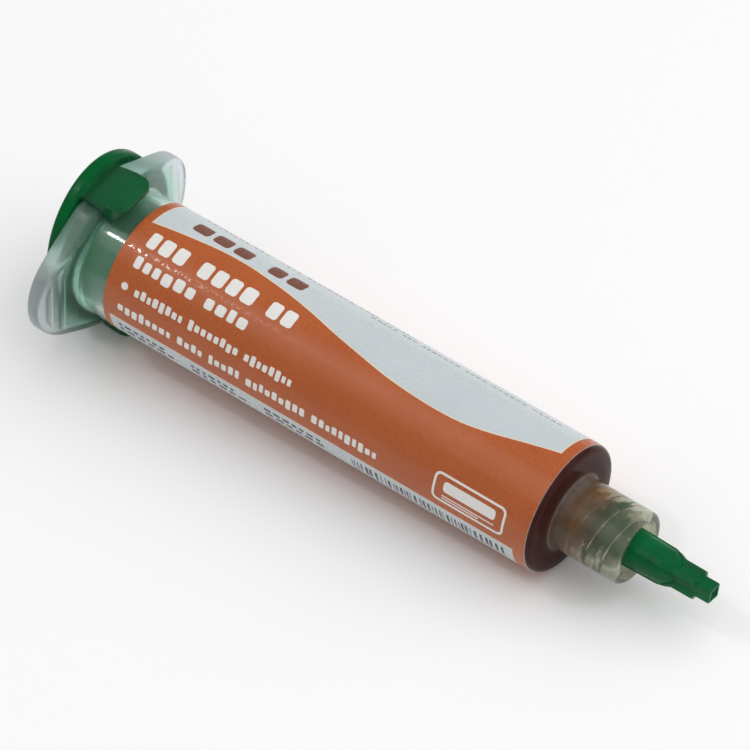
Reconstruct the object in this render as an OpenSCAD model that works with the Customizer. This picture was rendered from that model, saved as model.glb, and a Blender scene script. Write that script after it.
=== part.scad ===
// 10 cc screw-lock dispensing syringe, filled and capped at both ends.
// The syringe is drawn along +X, from the back face of the finger flange
// (x = 0) to the outlet, and laid down at the end: it rests on the lower leg
// of the end cap and on the front edge of the label. Millimetres.

/* [Barrel] */
// Outside diameter of the tube
tube_d = 18.3; // [18:0.1:19]
// Diameter of the bore
bore_d = 15.9; // [15.4:0.1:16.2]
// Front face of the shoulder, from the back of the flange
shoulder_x = 77.6; // [77.6:0.1:78]
// Thickness of the shoulder wall
shoulder_t = 1.6; // [1.2:0.1:2.5]
// Rounding of the shoulder's rim
shoulder_r = 0.8; // [0.3:0.1:0.8]

/* [Finger flange] */
// Distance of each wing tip's centre from the axis
wing_y = 7.95; // [7:0.05:9]
// Radius of each wing tip
wing_r = 7.8; // [7:0.1:8.5]
// Radius of the flange's middle
flange_r = 11.6; // [11.2:0.1:12]
// Distance across the two flats that the cap's legs clip over
flats_d = 21.6; // [21.2:0.1:22]
// Thickness of the flange where it meets the tube
flange_t = 3.6; // [3:0.1:4]
// Thickness of the flange at the wing tips
wing_t = 1.8; // [1.4:0.1:2.4]
// Grip ribs on each wing
rib_n = 2; // [1:1:2]
// Pitch of the grip ribs
rib_pitch = 2.1; // [2:0.1:2.4]
// Width of a grip rib
rib_w = 1.1; // [0.8:0.1:1.4]
// Height of a grip rib above the wing's face
rib_h = 0.45; // [0.2:0.05:0.6]

/* [Luer outlet] */
// Outside diameter of the lock collar
collar_d = 10.3; // [9.8:0.1:11]
// Bore of the lock collar, over its thread
collar_bore = 8.0; // [7.8:0.1:8.4]
// Length of the lock collar in front of the shoulder
collar_l = 10.5; // [10:0.1:11]
// Diameter of the nozzle at its end
nozzle_d = 3.96; // [3.9:0.01:4.0]
// How far the nozzle stands out of the collar
nozzle_out = 2.1; // [2.1:0.1:2.4]
// Diameter of the hole through the nozzle
orifice_d = 2.3; // [1.8:0.1:2.5]

/* [Label] */
// Back edge of the label
label_x = 7.8; // [7.4:0.1:7.8]
// Length of the label along the tube
label_l = 69.0; // [60:0.1:69]
// Distance of the label's outer face from the tube, its thickness with its glue
label_t = 0.1; // [0.06:0.01:0.15]

/* [Piston] */
// Back edge of the piston
piston_x = 14; // [10:0.5:30]
// Length of the piston
piston_l = 14.1; // [12:0.1:16]
// Gap between the piston's wiping edges and the bore
piston_gap = 0.07; // [0.03:0.01:0.1]

/* [End cap] */
// Thickness of the cap's plate
plate_t = 2.0; // [1.6:0.1:2.6]
// Half the plate's width, across the wings
plate_ry = 10.5; // [10:0.1:11]
// How far the plate is set towards one wing, to lift it by
plate_off = 1.1; // [0:0.1:1.5]
// Half the plate's height, from leg to leg
plate_rz = 12.9; // [12.4:0.1:12.9]
// Width of each leg
leg_w = 7.0; // [6:0.1:8]
// How far the upper leg's middle is set towards the same wing
leg_off = 0.4; // [0:0.1:0.6]
// How far the lower leg's middle is set towards the same wing
low_off = -0.5; // [-0.6:0.1:0.6]
// Distance of a leg's outer face from the axis
leg_z = 12.7; // [12.7:0.1:13]
// How far a leg's outer face dips where it leaves the plate
leg_dip = 0.7; // [0.1:0.1:0.8]
// How far a leg's outer face falls from its middle to its sides
leg_crown = 0.2; // [0.1:0.05:0.3]
// Front end of the legs
leg_x = 6.8; // [6.6:0.1:7.2]
// Depth of the plug inside the bore
plug_l = 9.0; // [7:0.1:9.5]
// Gap between the plug and the bore
plug_gap = 0.08; // [0.03:0.01:0.1]
// Wall of the plug
plug_t = 1.2; // [1:0.1:1.6]

/* [Tip cap] */
// Diameter of the round grip at the collar
grip_d = 5.2; // [5.1:0.1:5.8]
// Narrowing of the grip towards its front end, on the diameter
grip_taper = 0.3; // [0:0.05:0.4]
// Front end of the round grip
grip_x = 92.9; // [92:0.1:93.2]
// Start of the narrow stem
stem_x = 94.3; // [93.8:0.1:95]
// Front end of the fins
fin_x = 97.8; // [97:0.1:98.5]
// Front end of the stem
tip_x = 99.8; // [99:0.1:102]
// Across the corners of the square stem
stem_d = 2.95; // [2.6:0.05:3.2]
// Diameter over the fins
fin_d = 4.0; // [3.6:0.1:4.6]
// Thickness of a fin
fin_t = 0.95; // [0.7:0.05:1.2]
// Diameter over the two locking lugs
lug_d = 7.75; // [7.5:0.05:7.8]
// Turn of the tip cap about the axis
tip_turn = 32; // [0:1:90]

/* [Hidden] */
$fn = 96;
tube_r = tube_d / 2;
bore_r = bore_d / 2;
label_r = tube_r + label_t;
label_end = label_x + label_l;
collar_x = shoulder_x + collar_l;
nozzle_x = collar_x + nozzle_out;
nozzle_r = nozzle_d / 2;
// a luer cone widens by 6 parts in 100 of its length, on the diameter
luer = 0.03;
flange_y = wing_y + wing_r;
fit_gap = 0.1;
leg_in = flats_d / 2 + 0.15;
leg_round = 0.8;
// the hooks' lips stop clear of a sleeve over the tube
lip_z = 10.15;
socket_gap = 0.05;
grip_r2 = (grip_d - grip_taper) / 2;
lug_x = 82.3;
// the laid angle brings the leg's edge and the label's edge to one level
rest_x = leg_x - leg_round;
lay_a = atan((leg_z - label_r) / (label_end - rest_x));
floor_z = rest_x * sin(lay_a) + leg_z * cos(lay_a) + 0.0009;
// the middle of the laid syringe's length
back_x = -(fit_gap + plate_t) * cos(lay_a) - (plate_rz - 0.35) * sin(lay_a);
front_x = tip_x * cos(lay_a) + (stem_d / 2 - 0.15) * sin(lay_a);
mid_x = (back_x + front_x) / 2;

clear_c = [0.78, 0.84, 0.82, 0.55];
green_c = [0.05, 0.42, 0.20];
label_c = [0.74, 0.36, 0.17];
flux_c = [0.24, 0.13, 0.10];

// the syringe lying on the floor, its outlet a little lower than its back
module lay() translate([-mid_x, 0, floor_z]) rotate([0, lay_a, 0]) children();

// a solid of revolution about the syringe's axis from [x, radius] points
module turned(pts) rotate([90, 0, 90]) rotate([0, 0, 90]) rotate_extrude($fn = 128)
    polygon([for (p = pts) [p[1], p[0]]]);

// a quarter circle from angle a to angle b, as [x, radius] points
function arc(cx, cr, r, a, b, n = 8) =
    [for (i = [0:n]) [cx + r * cos(a + (b - a) * i / n), cr + r * sin(a + (b - a) * i / n)]];

// a rod along X
module rod(x0, x1, r, n = 128) translate([x0, 0, 0]) rotate([0, 90, 0])
    cylinder(r = r, h = x1 - x0, $fn = n);

// an oval with the half axes a and b
module oval(a, b) polygon([for (i = [0:95]) [a * cos(i * 3.75), b * sin(i * 3.75)]]);

// tangent points of the flange's straight sides
side_a = acos((flange_r - wing_r) / wing_y);
module flange_outline() {
    circle(r = flange_r, $fn = 160);
    for (s = [-1, 1]) {
        translate([s * wing_y, 0]) circle(r = wing_r, $fn = 128);
        polygon([
            [0, 0],
            [s * flange_r * cos(side_a), flange_r * sin(side_a)],
            [s * (wing_y + wing_r * cos(side_a)), wing_r * sin(side_a)],
            [s * wing_y, 0],
            [s * (wing_y + wing_r * cos(side_a)), -wing_r * sin(side_a)],
            [s * flange_r * cos(side_a), -flange_r * sin(side_a)]
        ]);
    }
}
// a plate of the outline's shape, standing across the axis from x0 to x1
module across(x0, x1) translate([x0, 0, 0]) rotate([90, 0, 90]) linear_extrude(height = x1 - x0) children();

// front face of a wing at the distance y from the axis
function wing_face(y) = y < 7 ? flange_t : flange_t - (flange_t - wing_t) * (y - 7) / (flange_y - 7);

module flange() {
    intersection() {
        across(0, flange_t + 1) flange_outline();
        translate([0, 0, -flats_d / 2]) linear_extrude(height = flats_d)
            polygon([[0, -20], [0, 20], [wing_face(20), 20], [flange_t, 7], [flange_t, -7], [wing_face(20), -20]]);
    }
    // grip ribs, clipped inside the outline
    intersection() {
        across(0.5, flange_t + 1) for (s = [-1, 1]) translate([s * wing_y, 0]) circle(r = wing_r - 0.9, $fn = 96);
        for (s = [-1, 1], i = [0:rib_n - 1]) {
            y = 11.65 + i * rib_pitch;
            translate([0, 0, -6.2]) linear_extrude(height = 12.4) polygon([
                [0.5, s * (y - rib_w / 2)], [0.5, s * (y + rib_w / 2)],
                [wing_face(y + rib_w / 2) + rib_h - 0.12, s * (y + rib_w / 2)],
                [wing_face(y) + rib_h, s * (y + rib_w / 4)],
                [wing_face(y) + rib_h, s * (y - rib_w / 4)],
                [wing_face(y - rib_w / 2) + rib_h - 0.12, s * (y - rib_w / 2)]
            ]);
        }
    }
}

module barrel() color(clear_c) lay() {
    difference() {
        union() {
            flange();
            // tube, shoulder and collar, with a small fillet against the flange
            turned(concat(
                [[0, 0], [0, tube_r + 0.5], [flange_t, tube_r + 0.5]],
                arc(flange_t + 0.5, tube_r + 0.5, 0.5, 180, 270),
                arc(shoulder_x - shoulder_r, tube_r - shoulder_r, shoulder_r, 90, 0),
                [[shoulder_x + 0.35, collar_d / 2 + 0.3], [shoulder_x + 0.65, collar_d / 2]],
                arc(collar_x - 0.8, collar_d / 2 - 0.8, 0.8, 90, 0, 6),
                [[collar_x, 0]]
            ));
            // the nozzle's free end
            turned([[collar_x - 3, 0], [collar_x - 3, nozzle_r + luer * (nozzle_out + 3)],
                    [nozzle_x - 0.2, nozzle_r + luer * 0.2], [nozzle_x, nozzle_r - 0.2], [nozzle_x, 0]]);
        }
        // bore, with a short lead-in at its mouth
        rod(-1, shoulder_x - shoulder_t - 1, bore_r);
        turned([[-0.01, 0], [-0.01, bore_r + 0.3], [0.3, bore_r], [0.3, 0]]);
        // inner end of the bore, rounding into the nozzle
        turned(concat([[shoulder_x - shoulder_t - 1.001, 0], [shoulder_x - shoulder_t - 1.001, bore_r]],
            arc(shoulder_x - shoulder_t - 1, bore_r - 1, 1, 90, 0, 5),
            [[shoulder_x - shoulder_t + 0.3, orifice_d / 2 + 0.6], [shoulder_x - shoulder_t + 0.9, orifice_d / 2],
             [shoulder_x - shoulder_t + 0.9, 0]]));
        rod(shoulder_x - 1, nozzle_x + 1, orifice_d / 2, 48);
        // the socket between collar and nozzle
        difference() {
            rod(shoulder_x + 2, collar_x + 1, collar_bore / 2, 96);
            turned([[shoulder_x + 1, 0], [shoulder_x + 1, nozzle_r + luer * (nozzle_x - shoulder_x - 1)],
                    [nozzle_x - 0.2, nozzle_r + luer * 0.2], [nozzle_x, nozzle_r - 0.2], [nozzle_x, 0]]);
        }
    }
}

module label() color(label_c) lay() difference() {
    rod(label_x, label_end, label_r);
    rod(label_x - 1, label_end + 1, tube_r + 0.01);
}

// the paste fills the bore in front of the piston and the nozzle
module flux_paste() color(flux_c) lay() turned(concat(
    [[piston_x + piston_l + 0.05, 0], [piston_x + piston_l + 0.05, bore_r - 0.02]],
    arc(shoulder_x - shoulder_t - 1, bore_r - 1.02, 1, 90, 0, 5),
    [[shoulder_x - shoulder_t + 0.27, orifice_d / 2 + 0.6], [shoulder_x - shoulder_t + 0.87, orifice_d / 2 - 0.02],
     [nozzle_x - 0.3, orifice_d / 2 - 0.02], [nozzle_x - 0.3, 0]]));

// a cup-backed wiper with two wiping edges and a flat nose
module piston() color(green_c) lay() {
    r = bore_r - piston_gap;
    x0 = piston_x;
    x1 = piston_x + piston_l;
    turned([[x0 + 7.5, 0], [x0 + 7.5, 5.4], [x0 + 6.5, 6.4], [x0, 6.6], [x0, r - 0.25], [x0 + 0.4, r],
            [x0 + 2.2, r], [x0 + 3, r - 0.55], [x0 + 9.2, r - 0.55], [x0 + 10, r], [x1 - 1.2, r],
            [x1 - 0.4, r - 0.5], [x1, r - 1.2], [x1, 0]]);
}

// one leg of the end cap, hooked over the upper flat of the flange; the ridge
// of its outer face can be set aside from its middle
module leg(ridge = 0) intersection() {
    // side view of the leg, its hook and its sloping lead-in
    rotate([90, 0, 0]) translate([0, 0, -leg_w / 2]) linear_extrude(height = leg_w) polygon(concat(
        [[-fit_gap - 0.5, leg_in - 0.4], [-fit_gap - 0.5, leg_z - leg_dip], [0.4, leg_z - leg_dip], [3.6, leg_z]],
        arc(leg_x - leg_round, leg_z - leg_round, leg_round, 90, 0),
        [[leg_x, 11.6], [leg_x - 1.5, lip_z], [flange_t + 0.15, lip_z], [flange_t + 0.15, leg_in], [-fit_gap, leg_in]]));
    // seen from the end its outer face is slightly crowned
    rotate([90, 0, 90]) translate([0, 0, -1]) linear_extrude(height = leg_x + 2) polygon(concat(
        [[-leg_w / 2, 5], [leg_w / 2, 5]],
        [for (i = [3:-1:0]) [ridge + 1 + (leg_w / 2 - 1 - ridge) * i / 3, leg_z - leg_crown * pow(i / 3, 2)]],
        [for (i = [0:3]) [ridge - 1 - (leg_w / 2 - 1 + ridge) * i / 3, leg_z - leg_crown * pow(i / 3, 2)]]));
    // seen from above its front corners are round
    union() {
        translate([-1, -leg_w / 2, 0]) cube([leg_x + 1 - 1.8, leg_w, 20]);
        translate([0, -leg_w / 2 + 1.8, 0]) cube([leg_x, leg_w - 3.6, 20]);
        for (s = [-1, 1]) translate([leg_x - 1.8, s * (leg_w / 2 - 1.8), 0]) cylinder(r = 1.8, h = 20, $fn = 32);
    }
}

module end_cap() color(green_c) lay() {
    difference() {
        // oval plate, a little smaller at its back face
        union() {
            across(-fit_gap - plate_t + 0.4, -fit_gap) translate([plate_off, 0]) oval(plate_ry, plate_rz);
            across(-fit_gap - plate_t, -fit_gap - plate_t + 0.5) translate([plate_off, 0]) oval(plate_ry - 0.35, plate_rz - 0.35);
        }
        // shallow round dish in the back
        turned([[-5, 0], [-5, 6.6], [-fit_gap - plate_t + 0.5, 6.2], [-fit_gap - plate_t + 0.5, 0]]);
    }
    // the plug, a ring that seals in the bore
    turned([[-fit_gap - 0.3, bore_r - plug_gap - plug_t], [-fit_gap - 0.3, bore_r - plug_gap],
            [plug_l - 0.8, bore_r - plug_gap], [plug_l, bore_r - plug_gap - 0.45], [plug_l, bore_r - plug_gap - plug_t]]);
    translate([0, leg_off, 0]) leg();
    // the syringe lies on the lower leg's ridge, right under its axis
    mirror([0, 0, 1]) translate([0, low_off, 0]) leg(-low_off);
}

module tip_cap() color(green_c) lay() rotate([tip_turn, 0, 0]) difference() {
    union() {
        // two locking lugs at the back of the socket
        intersection() {
            rod(lug_x, lug_x + 2.1, lug_d / 2, 96);
            translate([lug_x - 1, -5, -2.3]) cube([4, 10, 4.6]);
        }
        turned([[lug_x, 0], [lug_x, 2.9], [lug_x + 2.1, 2.9], [lug_x + 2.6, grip_d / 2], [collar_x, grip_d / 2],
                [grip_x, grip_r2], [stem_x, stem_d / 2 + 0.1], [stem_x + 0.5, stem_d / 2 - 0.4], [stem_x + 0.5, 0]]);
        // the stem is a square bar with rounded corners, in line with the fins
        intersection() {
            turned([[stem_x - 1, 0], [stem_x - 1, stem_d / 2], [tip_x - 0.15, stem_d / 2], [tip_x, stem_d / 2 - 0.15], [tip_x, 0]]);
            rotate([45, 0, 0]) translate([stem_x - 1, -stem_d * 0.4, -stem_d * 0.4]) cube([tip_x - stem_x + 2, stem_d * 0.8, stem_d * 0.8]);
        }
        // fins: two crossed bars, sloped at both ends
        for (a = [0, 90]) rotate([a, 0, 0]) rotate([90, 0, 0]) translate([0, 0, -fin_t / 2]) linear_extrude(height = fin_t)
            polygon([[grip_x - 1, 0], [grip_x - 1, grip_r2 - 0.02], [grip_x, grip_r2 - 0.02], [stem_x, fin_d / 2],
                     [fin_x - 0.25, fin_d / 2], [fin_x, stem_d / 2 - 0.1], [fin_x, -stem_d / 2 + 0.1],
                     [fin_x - 0.25, -fin_d / 2], [stem_x, -fin_d / 2], [grip_x, -grip_r2 + 0.02],
                     [grip_x - 1, -grip_r2 + 0.02]]);
    }
    // the tapered socket over the nozzle
    turned([[lug_x - 1, 0], [lug_x - 1, nozzle_r + socket_gap + luer * (nozzle_x - lug_x + 1)],
            [nozzle_x + 0.3, nozzle_r + socket_gap], [nozzle_x + 0.5, 0]]);
}

barrel();
label();
flux_paste();
piston();
end_cap();
tip_cap();
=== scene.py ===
import math

import bpy
import numpy as np
from mathutils import Matrix, Vector
from mathutils.geometry import delaunay_2d_cdt


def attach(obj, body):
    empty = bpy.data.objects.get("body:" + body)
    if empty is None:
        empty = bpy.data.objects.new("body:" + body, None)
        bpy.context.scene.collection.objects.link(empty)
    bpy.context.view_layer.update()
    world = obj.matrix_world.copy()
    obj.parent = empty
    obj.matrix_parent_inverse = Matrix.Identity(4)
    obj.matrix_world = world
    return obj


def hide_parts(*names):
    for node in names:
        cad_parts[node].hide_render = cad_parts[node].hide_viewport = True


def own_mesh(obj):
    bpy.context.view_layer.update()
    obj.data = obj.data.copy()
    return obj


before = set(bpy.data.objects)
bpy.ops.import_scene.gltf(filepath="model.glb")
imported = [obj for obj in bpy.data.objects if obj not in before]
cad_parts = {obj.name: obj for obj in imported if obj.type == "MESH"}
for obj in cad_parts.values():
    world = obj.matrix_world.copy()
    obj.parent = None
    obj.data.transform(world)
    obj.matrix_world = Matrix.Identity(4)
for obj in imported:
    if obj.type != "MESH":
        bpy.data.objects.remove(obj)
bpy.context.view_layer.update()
rng = np.random.default_rng(7)

# ---------------------------------------------------------------- dimensions, mm
# x runs along the syringe from the back face of its flange to the outlet, z is up
# through the cap's upper leg, and the whole is then laid down at the angle LAY.
TUBE_R, BORE_R = 9.15, 7.95
SHOULDER_X, SHOULDER_T, SHOULDER_R = 77.6, 1.6, 0.8
COLLAR_X, COLLAR_R, COLLAR_BORE = 88.1, 5.15, 4.0
NOZZLE_X, NOZZLE_R, ORIFICE = 90.2, 1.98, 1.15
FLANGE_R, WING_Y, WING_R, FLAT = 11.6, 7.95, 7.8, 10.8
FLANGE_T, WING_T = 3.6, 1.8
LABEL_X0, LABEL_X1, LABEL_R = 7.8, 76.8, 9.25
PISTON_NOSE = 28.15
PLATE_OFF, PLATE_A, PLATE_B = 1.1, 10.5, 12.9
LEG_Z, LEG_X, LEG_W, LEG_IN, LIP_Z = 12.7, 6.8, 7.0, 10.95, 10.15
LEG_OFF, LOW_OFF = 0.4, -0.5
LAY = math.atan((LEG_Z - LABEL_R) / (LABEL_X1 - (LEG_X - 0.8)))
CA, SA = math.cos(LAY), math.sin(LAY)
FLOOR = (LEG_X - 0.8) * SA + LEG_Z * CA + 0.0009
MID = (-2.1 * CA - (PLATE_B - 0.35) * SA + 99.8 * CA + (1.475 - 0.15) * SA) / 2
LAID = Matrix(((CA, 0, SA, -MID / 1000), (0, 1, 0, 0), (-SA, 0, CA, FLOOR / 1000), (0, 0, 0, 1)))


# ---------------------------------------------------------------- materials
def material(name):
    m = bpy.data.materials.new(name)
    m.use_nodes = True
    nt = m.node_tree
    return m, nt, nt.nodes["Principled BSDF"]


def add(nt, kind, **values):
    n = nt.nodes.new(kind)
    for k, v in values.items():
        setattr(n, k, v)
    return n


def noise(nt, coords, scale, detail=2.0, rough=0.5):
    n = add(nt, "ShaderNodeTexNoise")
    n.inputs["Scale"].default_value = scale
    n.inputs["Detail"].default_value = detail
    n.inputs["Roughness"].default_value = rough
    nt.links.new(coords, n.inputs["Vector"])
    return n.outputs["Fac"]


def stretched(nt, coords, scale):
    n = add(nt, "ShaderNodeMapping")
    n.inputs["Scale"].default_value = scale
    nt.links.new(coords, n.inputs["Vector"])
    return n.outputs["Vector"]


def spread(nt, fac, low, high, f0=0.3, f1=0.7):
    n = add(nt, "ShaderNodeMapRange")
    n.inputs["From Min"].default_value = f0
    n.inputs["From Max"].default_value = f1
    n.inputs["To Min"].default_value = low
    n.inputs["To Max"].default_value = high
    nt.links.new(fac, n.inputs["Value"])
    return n.outputs["Result"]


def blend_colour(nt, fac, c0, c1, f0=0.3, f1=0.7):
    r = add(nt, "ShaderNodeValToRGB")
    r.color_ramp.elements[0].position = f0
    r.color_ramp.elements[1].position = f1
    r.color_ramp.elements[0].color = (*c0, 1)
    r.color_ramp.elements[1].color = (*c1, 1)
    nt.links.new(fac, r.inputs["Fac"])
    return r.outputs["Color"]


def bump(nt, bsdf, height, strength, distance):
    n = add(nt, "ShaderNodeBump")
    n.inputs["Strength"].default_value = strength
    n.inputs["Distance"].default_value = distance
    nt.links.new(height, n.inputs["Height"])
    nt.links.new(n.outputs["Normal"], bsdf.inputs["Normal"])
    return n


def object_coords(nt):
    return add(nt, "ShaderNodeTexCoord").outputs["Object"]


def printed(name, colour, colour2):
    """Ink on satin film: glossy flecks that break up highlights, and a slow change of tone."""
    m, nt, b = material(name)
    c = object_coords(nt)
    tone = noise(nt, c, 130, 3.0, 0.6)
    nt.links.new(blend_colour(nt, tone, colour, colour2), b.inputs["Base Color"])
    fleck = noise(nt, c, 2100, 2.0, 0.55)
    nt.links.new(spread(nt, fleck, 0.40, 0.11, 0.50, 0.56), b.inputs["Roughness"])
    bump(nt, b, noise(nt, c, 3000, 2.0, 0.6), 0.3, 0.000008)
    b.inputs["Specular IOR Level"].default_value = 0.42
    return m


def green_plastic(name, tone=1.0, plug=0.0, inner_x=0.0):
    """Soft moulded polyethylene: satin, slightly uneven in tone, with a faint waxy depth.
    Inside the radius plug, in m, and behind inner_x, in mm, the green is painted lighter. This is painted light,
    standing in for the lamp light that reaches these parts through the clear plastic round them.
    With a plug, the plate is painted lighter as well, a painted highlight, and darker in the valley where the legs
    meet it, a painted shade."""
    m, nt, b = material(name)
    c = object_coords(nt)
    slow = noise(nt, c, 210, 3.0, 0.6)
    c0 = tuple(tone * v for v in (0.0008, 0.066, 0.019))
    c1 = tuple(tone * v for v in (0.0020, 0.094, 0.029))
    base = blend_colour(nt, slow, c0, c1)
    if plug:
        near = add(nt, "ShaderNodeMath", operation="LESS_THAN")
        near.inputs[1].default_value = plug
        nt.links.new(from_axis(nt, c), near.inputs[0])
        # painted shade: the valley where the legs meet the plate, from x 0 to 1.6 mm and darkest near 0.6 mm, is
        # painted a darker green
        valley_shade = add(nt, "ShaderNodeMath", operation="MULTIPLY")
        nt.links.new(lengthwise(nt, c, 0.0, 0.5, 0.0, 1.0), valley_shade.inputs[0])
        nt.links.new(lengthwise(nt, c, 0.7, 1.6, 1.0, 0.0), valley_shade.inputs[1])
        base = mixed(nt, "RGBA", valley_shade.outputs[0], base, blend_colour(nt, slow, (0.0003, 0.046, 0.010), (0.0006, 0.058, 0.014)))
        # painted highlight: the plate, behind x -0.5 mm, is painted a lighter green for the light that falls on it and
        # shines through it
        rim = lengthwise(nt, c, -0.5, 0.25, 1.0, 0.0)
        base = mixed(nt, "RGBA", rim, base, blend_colour(nt, slow, (0.0004, 0.084, 0.019), (0.0010, 0.112, 0.027)))
        nt.links.new(lengthwise(nt, c, -0.2, 1.2, 0.09, 0.26), b.inputs["Specular IOR Level"])
        # painted light: the plug inside the bore is painted a lighter green, for the lamp light that reaches it
        # through the clear barrel
        ring = add(nt, "ShaderNodeMath", operation="MULTIPLY")
        nt.links.new(near.outputs[0], ring.inputs[0])
        nt.links.new(lengthwise(nt, c, 0.0, 0.3, 0.0, 1.0), ring.inputs[1])
        base = mixed(nt, "RGBA", ring.outputs[0], base, blend_colour(nt, slow, (0.012, 0.170, 0.066), (0.022, 0.220, 0.090)))
    # painted light: the tip cap inside the collar, behind inner_x, is painted a lighter green for the lamp light that
    # reaches it through the collar
    if inner_x:
        lit = along(nt, c, ((0, 1.0), (inner_x - 0.6, 1.0), (inner_x, 0.0)))
        base = mixed(nt, "RGBA", lit, base, blend_colour(nt, slow, (0.005, 0.120, 0.042), (0.010, 0.160, 0.058)))
    nt.links.new(base, b.inputs["Base Color"])
    fine = noise(nt, c, 1700, 3.0, 0.6)
    nt.links.new(spread(nt, fine, 0.15 if inner_x else 0.22, 0.21 if inner_x else 0.29), b.inputs["Roughness"])
    flow = noise(nt, stretched(nt, c, (150, 900, 900)), 1.0, 2.0, 0.5)
    mix = add(nt, "ShaderNodeMath", operation="ADD")
    nt.links.new(fine, mix.inputs[0])
    nt.links.new(flow, mix.inputs[1])
    bump(nt, b, mix.outputs[0], 0.02, 0.00003)
    if not plug:
        b.inputs["Specular IOR Level"].default_value = 0.15
    b.inputs["Subsurface Weight"].default_value = 0.10 if plug else 0.03
    b.inputs["Subsurface Radius"].default_value = (0.1, 1.0, 0.35)
    b.inputs["Subsurface Scale"].default_value = 0.0008
    return m


def from_axis(nt, coords):
    """Distance from the syringe's axis, m."""
    flat = add(nt, "ShaderNodeVectorMath", operation="MULTIPLY")
    flat.inputs[1].default_value = (0, 1, 1)
    nt.links.new(coords, flat.inputs[0])
    size = add(nt, "ShaderNodeVectorMath", operation="LENGTH")
    nt.links.new(flat.outputs[0], size.inputs[0])
    return size.outputs["Value"]


def lengthwise(nt, coords, x0, x1, v0, v1):
    """A value that goes from v0 at x0 to v1 at x1, in mm along the syringe."""
    sep = add(nt, "ShaderNodeSeparateXYZ")
    nt.links.new(coords, sep.inputs[0])
    return spread(nt, sep.outputs["X"], v0, v1, x0 / 1000, x1 / 1000)


def mixed(nt, kind, fac, a, b):
    """a where fac is 0 and b where it is 1; kind is FLOAT or RGBA."""
    n = add(nt, "ShaderNodeMix", data_type=kind)
    nt.links.new(fac, n.inputs["Factor"])
    ia, ib, out = (2, 3, 0) if kind == "FLOAT" else (6, 7, 2)
    for i, v in ((ia, a), (ib, b)):
        if isinstance(v, (int, float, tuple)):
            n.inputs[i].default_value = v
        else:
            nt.links.new(v, n.inputs[i])
    return n.outputs[out]


def along(nt, coords, stops):
    """A value that follows the distance along the syringe: stops are (x in mm, value)."""
    sep = add(nt, "ShaderNodeSeparateXYZ")
    nt.links.new(coords, sep.inputs[0])
    mr = add(nt, "ShaderNodeMapRange")
    mr.inputs["From Min"].default_value = 0.0
    mr.inputs["From Max"].default_value = 0.1
    nt.links.new(sep.outputs["X"], mr.inputs["Value"])
    r = add(nt, "ShaderNodeValToRGB")
    e = r.color_ramp.elements
    while len(e) < len(stops):
        e.new(0.5)
    for k, (x, v) in enumerate(sorted(stops)):
        e[k].position = x / 100
        e[k].color = (v, v, v, 1)
    nt.links.new(mr.outputs["Result"], r.inputs["Fac"])
    return r.outputs["Color"]


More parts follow.
